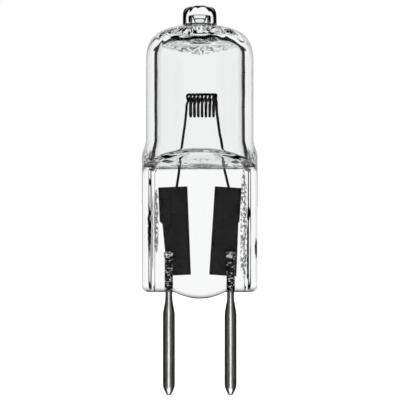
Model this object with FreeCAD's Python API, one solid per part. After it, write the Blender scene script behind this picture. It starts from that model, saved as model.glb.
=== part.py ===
import FreeCAD, Part
import os
from math import cos, pi, radians, sin, tan
from FreeCAD import Placement, Rotation, Vector

# Halogen capsule bulb with two contact pins, in millimetres.
# Z is up, X runs through both pins and the viewer stands on the -Y side.
# The origin is midway between the pins, in the plane where their full diameter begins.

# Contact pins
PIN_PITCH = 6.35
PIN_DIAMETER = 1.25
PIN_SHANK_LENGTH = 7.5
PIN_POINT_LENGTH = 0.95
PIN_NOSE_DIAMETER = 0.4
PIN_TAPER_LENGTH = 1.3
PIN_TAPER_BLEND = 1.2
PIN_NECK_DIAMETER = 0.74
PIN_NECK_INSERTION = 4.1
NECK_CLEARANCE = 0.07

# Press seal, the flattened foot of the glass
SEAL_STANDOFF = 2.1
SEAL_LENGTH = 12.7
SEAL_WIDTH = 11.95
SEAL_CORNER_RADIUS = 0.45
SEAL_FOOT_RADIUS = 0.55
RAIL_THICKNESS = 3.6
WEB_THICKNESS = 2.4
WEB_WIDTH = 8.7
FLANK_WIDTH = 0.75
FLANK_ROOT_RADIUS = 0.4
WEB_TOP_RADIUS = 0.5
BULGE_WIDTH = 5.2
BULGE_DEPTH = 0.65

# Bulb, shoulder and dome
BULB_DIAMETER = 11.08
BULB_WALL = 1.0
SHOULDER_HEIGHT = 3.0
SHOULDER_WIDENING_HEIGHT = 1.8
BULB_TUBE_LENGTH = 10.9
DOME_RISE = 0.65
DOME_RADIUS = 2.3
DOME_WALL = 1.35
CEILING_RISE = 0.35
CEILING_CORNER = 0.65
FLOOR_RISE = 0.8
FLOOR_DEPTH = 0.9
FLOOR_RADIUS = 0.4
SECTION_FLAT_ANGLE = 1.0
SHOULDER_STEPS = 6

# Exhaust tip, left where the glass was drawn off and closed
TIP_DIAMETER = 3.54
TIP_HEIGHT = 2.15
TIP_EDGE_RADIUS = 0.65
TIP_ROOT = 0.2
TIP_BORE = 1.9
TIP_ROOF = 1.0
TIP_DROP_LENGTH = 1.15
TIP_DROP_DIAMETER = 0.4
TIP_MOUTH = 0.25

# Filament
WIRE_DIAMETER = 0.27
WIRE_FLATS = 6
COIL_DIAMETER = 2.53
COIL_PITCH = 0.386
COIL_TURNS = 7.5
COIL_OFFSET = 0.15
LIGHT_CENTRE = 29.75
LEG_BEND_RADIUS = 0.6
LEG_LEAD_OUT = 0.6
LEG_FLOOR_DEPTH = 0.5
LEG_OVERLAP = 1.1
LEG_FLOOR_REACH = {"left": 2.04, "right": 2.49}
LEG_FOOT_REACH = {"left": 2.53, "right": 3.25}

# Sealing foils
FOIL_WIDTH = {"left": 3.0, "right": 2.76}
FOIL_FOOT_WIDTH = {"left": 2.42, "right": 2.8}
FOIL_TILT = {"left": 2.3, "right": 3.7}
FOIL_TOP_GAP = {"left": 1.27, "right": 1.56}
FOIL_STEP = {"left": 0.28, "right": 0.1}
FOIL_STEP_DROP = 3.5
FOIL_LENGTH = 9.1
FOIL_OVERLAP = 2.3
FOIL_THICKNESS = 0.05
WELD_FLAT = 0.03

# Heights and places that follow from the sizes above
SHARP = 0
SIDES = {"left": -1, "right": 1}
BULB_RADIUS = BULB_DIAMETER / 2
CAVITY_RADIUS = BULB_RADIUS - BULB_WALL
SEAL_TOP = SEAL_STANDOFF + SEAL_LENGTH
SHOULDER_TOP = SEAL_TOP + SHOULDER_HEIGHT
FLOOR_HEIGHT = SEAL_TOP + FLOOR_RISE
DOME_EDGE = SHOULDER_TOP + BULB_TUBE_LENGTH
DOME_TOP = DOME_EDGE + DOME_RISE
CEILING = DOME_TOP - DOME_WALL
CEILING_EDGE = CEILING - CEILING_RISE
TIP_TOP = DOME_TOP + TIP_HEIGHT
NECK_RADIUS = PIN_NECK_DIAMETER / 2
NECK_TOP = SEAL_STANDOFF + PIN_NECK_INSERTION
WIRE_RADIUS = WIRE_DIAMETER / 2
COIL_RADIUS = (COIL_DIAMETER - WIRE_DIAMETER) / 2
COIL_LENGTH = COIL_TURNS * COIL_PITCH
COIL_START = COIL_OFFSET - COIL_LENGTH / 2
COIL_HEIGHT = LIGHT_CENTRE - PIN_SHANK_LENGTH - PIN_POINT_LENGTH
FOIL_FOOT = NECK_TOP - FOIL_OVERLAP
FOIL_TOP = FOIL_FOOT + FOIL_LENGTH
FOIL_FRONT = NECK_RADIUS - WELD_FLAT
FOIL_BACK = FOIL_FRONT + FOIL_THICKNESS
LEG_DEPTH = FOIL_BACK + WIRE_RADIUS - WELD_FLAT


def line(start, end):
    return Part.LineSegment(start, end).toShape()


def arc(start, middle, end):
    return Part.Arc(start, middle, end).toShape()


def rounded_run(points, radii):
    """Straight runs through the points, each inner one sharp or with a tangent arc of its radius."""
    edges = []
    start = points[0]
    for before, corner, after, radius in zip(points, points[1:], points[2:], radii):
        arriving = (corner - before).normalize()
        leaving = (after - corner).normalize()
        half_turn = arriving.getAngle(leaving) / 2
        inward = (leaving - arriving).normalize()
        arc_start = corner - arriving * (radius * tan(half_turn))
        arc_end = corner + leaving * (radius * tan(half_turn))
        arc_middle = corner + inward * (radius / cos(half_turn) - radius)
        edges.append(line(start, arc_start))
        if radius != SHARP:
            edges.append(arc(arc_start, arc_middle, arc_end))
        start = arc_end
    edges.append(line(start, points[-1]))
    return edges


def turned(edges):
    """Solid of revolution about Z from a profile in the XZ plane that starts and ends on the axis."""
    first = edges[0].Vertexes[0].Point
    last = edges[-1].Vertexes[-1].Point
    face = Part.Face(Part.Wire(edges + [line(last, first)]))
    return face.revolve(Vector(0, 0, 0), Vector(0, 0, 1), 360)


def bulb_outside():
    """Tube, dome and exhaust tip as one turned solid above the shoulder."""
    stub = TIP_DIAMETER / 2
    points = [
        Vector(0, 0, SHOULDER_TOP),
        Vector(BULB_RADIUS, 0, SHOULDER_TOP),
        Vector(BULB_RADIUS, 0, DOME_EDGE),
        Vector(stub + TIP_ROOT, 0, DOME_TOP),
        Vector(stub, 0, DOME_TOP + TIP_ROOT),
        Vector(stub, 0, TIP_TOP),
        Vector(0, 0, TIP_TOP),
    ]
    return turned(rounded_run(points, [SHARP, DOME_RADIUS, SHARP, SHARP, TIP_EDGE_RADIUS]))


def bulb_cavity():
    """Gas space of the tube and dome, with the bore of the tip closed by a drop of glass."""
    bore = TIP_BORE / 2
    groove = TIP_TOP - TIP_ROOF
    drop = TIP_DROP_DIAMETER / 2
    points = [
        Vector(0, 0, SHOULDER_TOP),
        Vector(CAVITY_RADIUS, 0, SHOULDER_TOP),
        Vector(CAVITY_RADIUS, 0, CEILING_EDGE - CEILING_CORNER),
        Vector(CAVITY_RADIUS - CEILING_CORNER, 0, CEILING_EDGE),
        Vector(bore + TIP_MOUTH, 0, CEILING),
        Vector(bore, 0, CEILING + TIP_MOUTH),
        Vector(bore, 0, groove),
        Vector(drop, 0, groove - TIP_DROP_LENGTH),
        Vector(0, 0, groove - TIP_DROP_LENGTH),
    ]
    return turned(rounded_run(points, [SHARP] * (len(points) - 2)))


def section(half_width, half_depth, half_flat, height):
    """Rounded rectangle in eight edges: a flat at each end and side, and four corner arcs."""
    corner = half_depth - half_flat
    half_side = half_width - corner
    edges = []
    for turn in (0, 180):
        spin = Rotation(Vector(0, 0, 1), turn)
        east = Vector(half_width, -half_flat, 0), Vector(half_width, half_flat, 0)
        north = Vector(half_side, half_depth, 0), Vector(-half_side, half_depth, 0)
        far = Vector(-half_width, half_flat, 0)
        swing = corner * cos(radians(45))
        first = Vector(half_side + swing, half_flat + swing, 0)
        second = Vector(-half_side - swing, half_flat + swing, 0)
        edges.append(line(spin.multVec(east[0]), spin.multVec(east[1])))
        edges.append(arc(spin.multVec(east[1]), spin.multVec(first), spin.multVec(north[0])))
        edges.append(line(spin.multVec(north[0]), spin.multVec(north[1])))
        edges.append(arc(spin.multVec(north[1]), spin.multVec(second), spin.multVec(far)))
    wire = Part.Wire(edges)
    wire.translate(Vector(0, 0, height))
    return wire


def circle_section(radius, height):
    """Circle cut into the same eight edges, so that it lofts onto the rounded rectangles."""
    flat = SECTION_FLAT_ANGLE
    stops = [-flat, flat, 90 - flat, 90 + flat, 180 - flat, 180 + flat, 270 - flat, 270 + flat, 360 - flat]
    rim = Vector(radius, 0, height)
    edges = []
    for start, end in zip(stops, stops[1:]):
        angles = [start, (start + end) / 2, end]
        edges.append(arc(*[Rotation(Vector(0, 0, 1), angle).multVec(rim) for angle in angles]))
    return Part.Wire(edges)


def ease(share):
    """Smooth step from 0 to 1 with level ends."""
    share = min(share, 1)
    return share * share * (3 - 2 * share)


def shoulder():
    """Ruled loft in short steps from the round tube down to the flat seal at rail thickness."""
    half_rail = RAIL_THICKNESS / 2
    end_flat = half_rail - SEAL_CORNER_RADIUS
    start_flat = BULB_RADIUS * sin(radians(SECTION_FLAT_ANGLE))
    wires = [circle_section(BULB_RADIUS, SHOULDER_TOP)]
    for step in range(1, SHOULDER_STEPS + 1):
        drop = SHOULDER_HEIGHT * step / SHOULDER_STEPS
        wide = ease(drop / SHOULDER_WIDENING_HEIGHT)
        narrow = ease(drop / SHOULDER_HEIGHT)
        wires.append(
            section(
                BULB_RADIUS + (SEAL_WIDTH / 2 - BULB_RADIUS) * wide,
                BULB_RADIUS + (half_rail - BULB_RADIUS) * narrow,
                start_flat + (end_flat - start_flat) * narrow,
                SHOULDER_TOP - drop,
            )
        )
    return Part.makeLoft(wires, True, True)


def pinched_floor():
    """Gas space under the tube, pinched to a rounded trough between the pressed walls."""
    half_trough = FLOOR_DEPTH / 2
    corners = [
        Vector(-CAVITY_RADIUS, -CAVITY_RADIUS, SHOULDER_TOP),
        Vector(-CAVITY_RADIUS, -half_trough, FLOOR_HEIGHT),
        Vector(-CAVITY_RADIUS, half_trough, FLOOR_HEIGHT),
        Vector(-CAVITY_RADIUS, CAVITY_RADIUS, SHOULDER_TOP),
    ]
    edges = rounded_run(corners, [FLOOR_RADIUS, FLOOR_RADIUS])
    edges.append(line(corners[-1], corners[0]))
    wedge = Part.Face(Part.Wire(edges)).extrude(Vector(2 * CAVITY_RADIUS, 0, 0))
    floor = Vector(0, 0, FLOOR_HEIGHT)
    return wedge.common(Part.makeCylinder(CAVITY_RADIUS, SHOULDER_TOP - FLOOR_HEIGHT, floor))


def seal_blank():
    """Flat seal at rail thickness, with rounded foot corners and the bulge between the pins."""
    half_width = SEAL_WIDTH / 2
    half_depth = RAIL_THICKNESS / 2
    half_bulge = BULGE_WIDTH / 2
    outline = section(half_width, half_depth, half_depth - SEAL_CORNER_RADIUS, SEAL_TOP)
    prism = Part.Face(outline).extrude(Vector(0, 0, -SEAL_LENGTH - BULGE_DEPTH))
    left_run = [
        Vector(-half_width, -half_depth, SEAL_TOP),
        Vector(-half_width, -half_depth, SEAL_STANDOFF),
        Vector(-half_bulge, -half_depth, SEAL_STANDOFF),
    ]
    right_run = [Vector(-point.x, point.y, point.z) for point in reversed(left_run)]
    lowest = Vector(0, -half_depth, SEAL_STANDOFF - BULGE_DEPTH)
    front = rounded_run(left_run, [SEAL_FOOT_RADIUS])
    front.append(arc(left_run[-1], lowest, right_run[0]))
    front += rounded_run(right_run, [SEAL_FOOT_RADIUS])
    front.append(line(right_run[-1], left_run[0]))
    slab = Part.Face(Part.Wire(front)).extrude(Vector(0, RAIL_THICKNESS, 0))
    return prism.common(slab)


def press_jaw():
    """What the back jaw of the press takes away: the web's face, its flanks and its rounded top."""
    half_web = WEB_WIDTH / 2
    web_face = WEB_THICKNESS / 2
    step = (RAIL_THICKNESS - WEB_THICKNESS) / 2
    foot = SEAL_STANDOFF - 2 * BULGE_DEPTH
    outer = half_web + 2 * FLANK_WIDTH
    corners = [
        Vector(-outer, web_face + 2 * step, foot),
        Vector(-half_web, web_face, foot),
        Vector(half_web, web_face, foot),
        Vector(outer, web_face + 2 * step, foot),
    ]
    edges = rounded_run(corners, [FLANK_ROOT_RADIUS, FLANK_ROOT_RADIUS])
    edges.append(line(corners[-1], corners[0]))
    jaw = Part.Face(Part.Wire(edges)).extrude(Vector(0, 0, SEAL_TOP - foot))
    top_edges = []
    for edge in jaw.Edges:
        level = edge.BoundBox.ZMin > SEAL_TOP - BULGE_DEPTH
        if level and edge.BoundBox.YMin < web_face + step:
            top_edges.append(edge)
    return jaw.makeFillet(WEB_TOP_RADIUS, top_edges)


def quartz_envelope(metal):
    """One piece of fused quartz: blown bulb, drawn tip and pressed seal, moulded round the metal."""
    jaw = press_jaw()
    front_jaw = jaw.mirror(Vector(0, 0, 0), Vector(0, 1, 0))
    glass = bulb_outside().fuse([shoulder(), seal_blank()])
    cavity = bulb_cavity().fuse(pinched_floor())
    glass = glass.cut([jaw, front_jaw]).cut(cavity)
    for side in SIDES:
        glass = glass.cut(neck_bore(side))
    return glass.cut(metal).removeSplitter()


def pin_centre(side):
    return Vector(SIDES[side] * PIN_PITCH / 2, 0, 0)


def neck_bore(side):
    """Fine gap that the cooling lead leaves round itself, from the seal's foot to the neck's end."""
    depth = PIN_NECK_INSERTION + BULGE_DEPTH + NECK_CLEARANCE
    start = pin_centre(side) + Vector(0, 0, SEAL_STANDOFF - BULGE_DEPTH)
    return Part.makeCylinder(NECK_RADIUS + NECK_CLEARANCE, depth, start)


def contact_pin(side):
    """Turned pin: blunt point, shank, waisted taper and the neck that goes into the glass."""
    radius = PIN_DIAMETER / 2
    tip = -PIN_SHANK_LENGTH - PIN_POINT_LENGTH
    points = [
        Vector(0, 0, tip),
        Vector(PIN_NOSE_DIAMETER / 2, 0, tip),
        Vector(radius, 0, -PIN_SHANK_LENGTH),
        Vector(radius, 0, 0),
        Vector(NECK_RADIUS, 0, PIN_TAPER_LENGTH),
        Vector(NECK_RADIUS, 0, NECK_TOP),
        Vector(0, 0, NECK_TOP),
    ]
    blends = [SHARP, SHARP, SHARP, PIN_TAPER_BLEND, SHARP]
    pin = turned(rounded_run(points, blends))
    pin.translate(pin_centre(side))
    return pin


def foil(side):
    """Thin ribbon between pin and filament leg, leaning over, with a step in its outer edge."""
    width = FOIL_WIDTH[side]
    corners = [
        Vector(0, FOIL_FRONT, 0),
        Vector(width, FOIL_FRONT, 0),
        Vector(width, FOIL_FRONT, -FOIL_STEP_DROP),
        Vector(width - FOIL_STEP[side], FOIL_FRONT, -FOIL_STEP_DROP - FOIL_STEP[side]),
        Vector(FOIL_FOOT_WIDTH[side], FOIL_FRONT, -FOIL_LENGTH),
        Vector(0, FOIL_FRONT, -FOIL_LENGTH),
    ]
    outline = Part.makePolygon(corners + corners[:1])
    ribbon = Part.Face(outline).extrude(Vector(0, FOIL_THICKNESS, 0))
    ribbon.rotate(Vector(0, 0, 0), Vector(0, 1, 0), FOIL_TILT[side])
    ribbon.translate(Vector(FOIL_TOP_GAP[side], 0, FOIL_TOP))
    if side == "left":
        ribbon = ribbon.mirror(Vector(0, 0, 0), Vector(1, 0, 0))
    return ribbon


def leg_points(side, coil_end, way):
    """Route of one leg from the coil's end down through the cavity floor to its foil."""
    sign = SIDES[side]
    return [
        coil_end,
        coil_end + way * LEG_LEAD_OUT,
        Vector(sign * LEG_FLOOR_REACH[side], LEG_DEPTH, FLOOR_HEIGHT + LEG_FLOOR_DEPTH),
        Vector(sign * LEG_FLOOR_REACH[side], LEG_DEPTH, SEAL_TOP),
        Vector(sign * LEG_FOOT_REACH[side], LEG_DEPTH, FOIL_TOP - LEG_OVERLAP),
    ]


def wire_ring(run):
    """Section of the fine wire, drawn with flats, square to the start of a straight run."""
    first, second = (vertex.Point for vertex in run.Vertexes)
    facing = Rotation(Vector(0, 0, 1), second - first)
    corners = []
    for flat in range(WIRE_FLATS + 1):
        turn = Rotation(Vector(0, 0, 1), 360 * flat / WIRE_FLATS)
        corner = turn.multVec(Vector(WIRE_RADIUS, 0, 0))
        corners.append(first + facing.multVec(corner))
    return Part.makePolygon(corners)


def filament():
    """One wire: up the left leg behind the coil, round its turns and down the right leg in front."""
    helix = Part.makeHelix(COIL_PITCH, COIL_LENGTH, COIL_RADIUS)
    start = Vector(COIL_START, 0, COIL_HEIGHT)
    helix.Placement = Placement(start, Rotation(Vector(1, 1, 1), 120))
    rise = Vector(COIL_PITCH / (2 * pi), 0, COIL_RADIUS).normalize()
    fall = Vector(rise.x, 0, -rise.z)
    left_end = start + Vector(0, COIL_RADIUS, 0)
    right_end = start + Vector(COIL_LENGTH, -COIL_RADIUS, 0)
    bends = [LEG_BEND_RADIUS] * 3
    left_leg = rounded_run(list(reversed(leg_points("left", left_end, rise * -1))), bends)
    right_leg = rounded_run(leg_points("right", right_end, fall), bends)
    path = Part.Wire(left_leg + helix.Edges + right_leg)
    return path.makePipeShell([wire_ring(left_leg[0])], True, False)


def build():
    nodes = {}
    for side in SIDES:
        nodes[f"{side}_foil"] = foil(side)
    foils = list(nodes.values())
    nodes["filament"] = filament().cut(foils)
    seats = list(nodes.values())
    nodes["quartz_envelope"] = quartz_envelope(seats)
    for side in SIDES:
        nodes[f"{side}_pin"] = contact_pin(side).cut(foils)
    return nodes


os.makedirs("parts", exist_ok=True)
for name, shape in build().items():
    solid = shape.Solids[0]
    print(name, "solids", len(shape.Solids), "valid", solid.isValid(), "volume", round(solid.Volume, 3))
    solid.exportStep(f"parts/{name}.step")
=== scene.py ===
# %% [markdown]
# A halogen capsule bulb
#
# The real object is a clear quartz tube about as wide as a finger tip. A dome with a drawn-off
# tip closes it at the top, and at the bottom it is pressed flat round two strips of foil and two
# pins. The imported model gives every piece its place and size, so it is loaded first. Its box is
# kept, because the finished pieces have to stay inside it.

# %% Load the frame and keep its box
from math import pi, radians, sin

import bpy
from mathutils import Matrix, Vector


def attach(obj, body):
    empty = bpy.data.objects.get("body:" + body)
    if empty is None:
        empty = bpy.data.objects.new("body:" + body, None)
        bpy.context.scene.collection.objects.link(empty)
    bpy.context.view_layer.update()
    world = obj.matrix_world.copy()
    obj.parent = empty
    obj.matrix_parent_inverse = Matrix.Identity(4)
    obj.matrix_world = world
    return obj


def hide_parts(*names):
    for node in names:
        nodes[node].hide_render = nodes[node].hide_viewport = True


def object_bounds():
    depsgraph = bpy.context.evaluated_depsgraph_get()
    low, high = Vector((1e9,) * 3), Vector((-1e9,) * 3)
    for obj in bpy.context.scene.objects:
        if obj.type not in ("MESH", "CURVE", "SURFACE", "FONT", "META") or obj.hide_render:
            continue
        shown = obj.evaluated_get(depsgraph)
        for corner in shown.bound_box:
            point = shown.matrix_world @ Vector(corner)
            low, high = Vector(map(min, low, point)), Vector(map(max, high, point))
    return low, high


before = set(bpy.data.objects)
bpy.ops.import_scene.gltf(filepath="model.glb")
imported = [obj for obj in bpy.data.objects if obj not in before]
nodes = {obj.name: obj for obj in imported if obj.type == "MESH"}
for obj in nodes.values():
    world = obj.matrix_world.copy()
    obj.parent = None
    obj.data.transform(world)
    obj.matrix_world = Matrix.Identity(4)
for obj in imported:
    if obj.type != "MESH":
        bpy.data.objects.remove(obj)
cad_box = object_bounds()
MM = 0.001
print("nodes", sorted(nodes))

# %% [markdown]
# The camera stands level in front of the flat seal, as far away as the slight perspective of the
# dome's ceiling asks for. A longer lens from further back would flatten the ceiling to a line,
# and a nearer one would open it too much.

# %% Place the camera
CAMERA_DISTANCE = 106.0
CAMERA_HEIGHT = 11.59
CAMERA_ASIDE = 0.03
FRAME_WIDTH = 41.2
SENSOR_WIDTH = 36.0
camera_data = bpy.data.cameras.new("front_camera")
camera_data.sensor_width = SENSOR_WIDTH
camera_data.lens = SENSOR_WIDTH * CAMERA_DISTANCE / FRAME_WIDTH
camera_data.clip_start = 0.001
camera = bpy.data.objects.new("front_camera", camera_data)
camera.location = (CAMERA_ASIDE * MM, -CAMERA_DISTANCE * MM, CAMERA_HEIGHT * MM)
camera.rotation_euler = (pi / 2, 0, 0)
bpy.context.scene.collection.objects.link(camera)
bpy.context.scene.camera = camera
print("lens", round(camera_data.lens, 1), "mm")

# %% [markdown]
# Every finish here is made of nodes, and so is the studio's light. In a window nodes are placed and
# joined by hand. In a script one small function adds a node with its settings and links, another
# turns a colour as seen on a screen into the linear numbers that a shader needs, and a third starts
# an empty finish.

# %% Helpers for colours, nodes and finishes
def linear(code):
    channels = []
    for place in (1, 3, 5):
        value = int(code[place:place + 2], 16) / 255
        channels.append(value / 12.92 if value <= 0.04045 else ((value + 0.055) / 1.055) ** 2.4)
    return (*channels, 1)


def add_node(tree, kind, inputs=(), **settings):
    made = tree.nodes.new(kind)
    for name, value in settings.items():
        setattr(made, name, value)
    for socket, value in dict(inputs).items():
        if isinstance(value, bpy.types.NodeSocket):
            tree.links.new(value, made.inputs[socket])
        else:
            made.inputs[socket].default_value = value
    return made


def blank_finish(name):
    made = bpy.data.materials.new(name)
    made.use_nodes = True
    made.node_tree.nodes.clear()
    return made, made.node_tree


print("mid grey on a screen is", round(linear("#808080")[0], 3), "in a shader")

# %% [markdown]
# Clear glass shows only what stands round it, so the studio is the larger half of the picture. The
# curved walls bend the dark gaps between white sheets into view along their edges, and that draws
# the black lines of the glass. Cards on stands would do the same, but they would block the view
# from other sides, so the gaps are in the world's own light. For that each direction gets a turn,
# from nothing on the camera's side to half a circle behind the bulb, and a climb above the level.

# %% Find each direction's turn and climb
world = bpy.data.worlds.new("white_studio")
world.use_nodes = True
sky = world.node_tree
sky.nodes.clear()
way = add_node(sky, "ShaderNodeTexCoord")
x, y, z = add_node(sky, "ShaderNodeSeparateXYZ", {0: way.outputs["Generated"]}).outputs
across = add_node(sky, "ShaderNodeMath", {0: x}, operation="ABSOLUTE").outputs[0]
ahead = add_node(sky, "ShaderNodeMath", {0: y, 1: -1.0}, operation="MULTIPLY").outputs[0]
turn = add_node(sky, "ShaderNodeMath", {0: across, 1: ahead}, operation="ARCTAN2").outputs[0]
climb = add_node(sky, "ShaderNodeMath", {0: z}, operation="ARCSINE").outputs[0]
print("world", world.name)

# %% [markdown]
# There are two sets of light, because clear glass and satin metal look their best in different ones.
# For glass all is white, with an upright dark gap at each of the four corners, wider further up, and
# a dark roof and floor. For metal all is dark, with a bright strip on the camera's side, a light
# from below for the points of the pins, and weaker strips at the sides and behind. A patch is a
# range of turns and a range of climbs, in degrees, and the light that it adds there.

# %% Hang the sheets and lamps
SOFT_EDGE = 0.9
GLASS_SIDE = (1.0, [
    ((45, 74), (-5, 9.6), -1.0), ((106, 135), (-5, 9.6), -1.0),
    ((36, 78), (9.6, 43), -1.0), ((100, 144), (9.6, 43), -1.0),
    ((-9, 189), (43, 99), -1.0), ((-9, 189), (-99, -45), -1.0),
])
METAL_SIDE = (0.01, [
    ((-12, 12), (-42, 42), 5.6), ((-50, 50), (-80, -44), 7.0), ((26, 70), (-42, 42), 0.3),
    ((128, 150), (-42, 42), 0.8), ((168, 192), (-42, 42), 0.3),
])
sides = []
for light, patches in (GLASS_SIDE, METAL_SIDE):
    for turns, climbs, added in patches:
        for angle, (low, high) in ((turn, turns), (climb, climbs)):
            aside = add_node(sky, "ShaderNodeMath", {0: angle, 1: radians((low + high) / 2)}, operation="SUBTRACT")
            aside = add_node(sky, "ShaderNodeMath", {0: aside.outputs[0]}, operation="ABSOLUTE")
            edge = radians((high - low) / 2)
            inside = add_node(sky, "ShaderNodeMapRange", {
                0: aside.outputs[0], 1: edge - radians(SOFT_EDGE), 2: edge + radians(SOFT_EDGE), 3: 1.0, 4: 0.0,
            }, interpolation_type="SMOOTHSTEP")
            added = add_node(sky, "ShaderNodeMath", {0: added, 1: inside.outputs[0]}, operation="MULTIPLY").outputs[0]
        light = add_node(sky, "ShaderNodeMath", {0: light, 1: added}, operation="ADD").outputs[0]
    sides.append(light)
print("patches", len(GLASS_SIDE[1]), "for glass and", len(METAL_SIDE[1]), "for metal")

# %% [markdown]
# A ray off satin metal is glossy but not sharp, and sees the light for metal. All other rays see the
# light for glass, and the camera itself sees plain white. Blender can tell the rays apart only if it
# doesn't also sample the world as a lamp, so that is switched off. Glass in glass needs many bounces.

# %% Show each ray its own light
path = add_node(sky, "ShaderNodeLightPath")
satin = add_node(sky, "ShaderNodeMath", {0: path.outputs["Is Glossy Ray"], 1: path.outputs["Is Singular Ray"]},
                 operation="SUBTRACT").outputs[0]
light = add_node(sky, "ShaderNodeMix", {0: satin, 2: sides[0], 3: sides[1]}).outputs[0]
seen = add_node(sky, "ShaderNodeMix", {0: path.outputs["Is Camera Ray"], 2: light, 3: 1.0}).outputs[0]
glow = add_node(sky, "ShaderNodeBackground", {"Color": (1, 1, 1, 1), "Strength": seen}).outputs[0]
add_node(sky, "ShaderNodeOutputWorld", {"Surface": glow})
scene = bpy.context.scene
scene.world = world
world.cycles.sampling_method = "NONE"
scene.view_settings.view_transform = "Standard"
scene.cycles.max_bounces = 32
scene.cycles.transmission_bounces = 32
scene.cycles.glossy_bounces = 16
print("studio nodes", len(sky.nodes))

# %% [markdown]
# The floor is a wide sheet of pale paper, level with the points of the pins. It is far larger than
# the view, so that its far edge meets the white of the studio without a line.

# %% Lay the floor
FLOOR_SIZE = 6.0


def paper():
    made, tree = blank_finish("pale_matt_paper")
    place = add_node(tree, "ShaderNodeTexCoord")
    # fibres about 1 mm long
    fibre = add_node(tree, "ShaderNodeTexNoise", {"Vector": place.outputs["Object"], "Scale": 900.0})
    tone = add_node(tree, "ShaderNodeMix", {0: fibre.outputs[0], 6: linear("#f0f0f0"), 7: linear("#f4f4f4")},
                    data_type="RGBA")
    cover = add_node(tree, "ShaderNodeBsdfDiffuse", {"Color": tone.outputs[2]})
    add_node(tree, "ShaderNodeOutputMaterial", {"Surface": cover.outputs[0]})
    return made


bpy.ops.object.select_all(action="DESELECT")
bpy.ops.mesh.primitive_plane_add(size=FLOOR_SIZE, location=(0, 0, cad_box[0][2]))
floor = bpy.context.active_object
floor.name = "paper_floor"
floor.data.materials.append(paper())
floor.visible_transmission = False
floor.visible_glossy = False
print("floor at", round(cad_box[0][2] / MM, 2), "mm")

# %% [markdown]
# The paper has to be as white as the studio behind it, or a horizon would show. A wide sun lamp from
# above does that and leaves no hard shadow. Glass and metal would show it as a stray highlight, so
# it is hidden from them.

# %% Light the floor from above
OVERHEAD_STRENGTH, OVERHEAD_SPREAD = 5.0, 120
bpy.ops.object.light_add(type="SUN", location=(0, 0, 0.3))
overhead = bpy.context.active_object
overhead.name = "overhead_light"
overhead.data.energy = OVERHEAD_STRENGTH
overhead.data.angle = radians(OVERHEAD_SPREAD)
overhead.visible_glossy = False
overhead.visible_transmission = False
print("overhead light", OVERHEAD_STRENGTH)

# %% [markdown]
# The glass is drawn the way the real one is made: a ring of hot glass is pulled out row by row
# into a tube, and the tube is then pressed flat. A turned profile would give the dome, but not the
# pressed foot. So a circle is extruded down through rows that each have a height, a half width and
# a half depth, from the tip to the foot. Every later step picks vertices by their place and moves
# or flattens only those.

# %% Rows of the outer skin
RING = 144
BULB_HALF, SEAL_HALF = 5.54, 5.96
TIP_ROWS = [
    (31.48, 0.95, 0.95), (31.43, 1.3, 1.3), (31.28, 1.56, 1.56), (31.04, 1.7, 1.7), (30.7, 1.76, 1.76),
    (30.2, 1.77, 1.77), (29.8, 1.77, 1.77), (29.56, 1.79, 1.79), (29.43, 1.87, 1.87), (29.36, 2.02, 2.02),
]
DOME_ROWS = [
    (29.28, 2.5, 2.5), (29.18, 3.05, 3.05), (29.03, 3.6, 3.6), (28.82, 4.12, 4.12), (28.5, 4.6, 4.6),
    (28.08, 5.0, 5.0), (27.55, 5.3, 5.3), (26.95, 5.47, 5.47), (26.4, 5.53, 5.53), (25.8, 5.54, 5.54),
]
TUBE_ROWS = [(height, BULB_HALF, BULB_HALF) for height in (24.5, 23.2, 21.9, 20.6, 19.6, 18.8, 18.3)]


def ease(share):
    share = min(max(share, 0), 1)
    return share * share * (3 - 2 * share)


SHOULDER_TOP, JAW_TOP, SEAL_TOP = 17.8, 16.2, 15.0
FLARE, FLARE_DROP, ROW_STEP = 0.42, 1.8, 0.12
SHOULDER_ROWS = []
for step in range(23):
    height = SHOULDER_TOP - ROW_STEP * step
    wide = BULB_HALF + FLARE * ease((SHOULDER_TOP - height) / FLARE_DROP)
    SHOULDER_ROWS.append((height, wide, BULB_HALF))
CORNER_HEIGHTS = (15.08, 15.04, 15.0, 14.96, 14.91, 14.86, 14.81, 14.77, 14.73)
SEAL_HEIGHTS = (14.66, 14.3, 13.6, 12.8, 11.6, 10.4, 9.2, 8.0, 6.8, 5.6, 4.6, 3.7, 3.1)
FOOT_WIDTHS = ((2.8, 5.95), (2.58, 5.92), (2.4, 5.85), (2.26, 5.74), (2.16, 5.58), (2.11, 5.4))
SHOULDER_ROWS += [(height, SEAL_HALF, BULB_HALF) for height in CORNER_HEIGHTS]
SEAL_ROWS = [(height, SEAL_HALF, BULB_HALF) for height in SEAL_HEIGHTS]
SEAL_ROWS += [(height, wide, BULB_HALF) for height, wide in FOOT_WIDTHS]
print("rows of the shoulder and the seal", len(SHOULDER_ROWS), len(SEAL_ROWS))

# %% [markdown]
# Drawing is two moves, over and over: the last ring is extruded to the next row's height, and then
# scaled to its width and depth. The ring starts as a filled circle, which closes the top of the tip.

# %% Draw the outer skin
def start_ring(name, sides, radius, height):
    bpy.ops.object.select_all(action="DESELECT")
    bpy.ops.mesh.primitive_circle_add(vertices=sides, radius=radius * MM, fill_type="NGON",
                                      location=(0, 0, height * MM))
    made = bpy.context.active_object
    made.name = name
    bpy.ops.object.transform_apply(location=True, rotation=True, scale=True)
    bpy.ops.object.mode_set(mode="EDIT")
    return made


def draw_rows(start, rows):
    height, wide, deep = start
    for next_height, next_wide, next_deep in rows:
        rise = (next_height - height) * MM
        bpy.ops.mesh.extrude_region_move(TRANSFORM_OT_translate={"value": (0, 0, rise)})
        bpy.ops.transform.resize(value=(next_wide / wide, next_deep / deep, 1),
                                 center_override=(0, 0, next_height * MM))
        height, wide, deep = next_height, next_wide, next_deep


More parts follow.
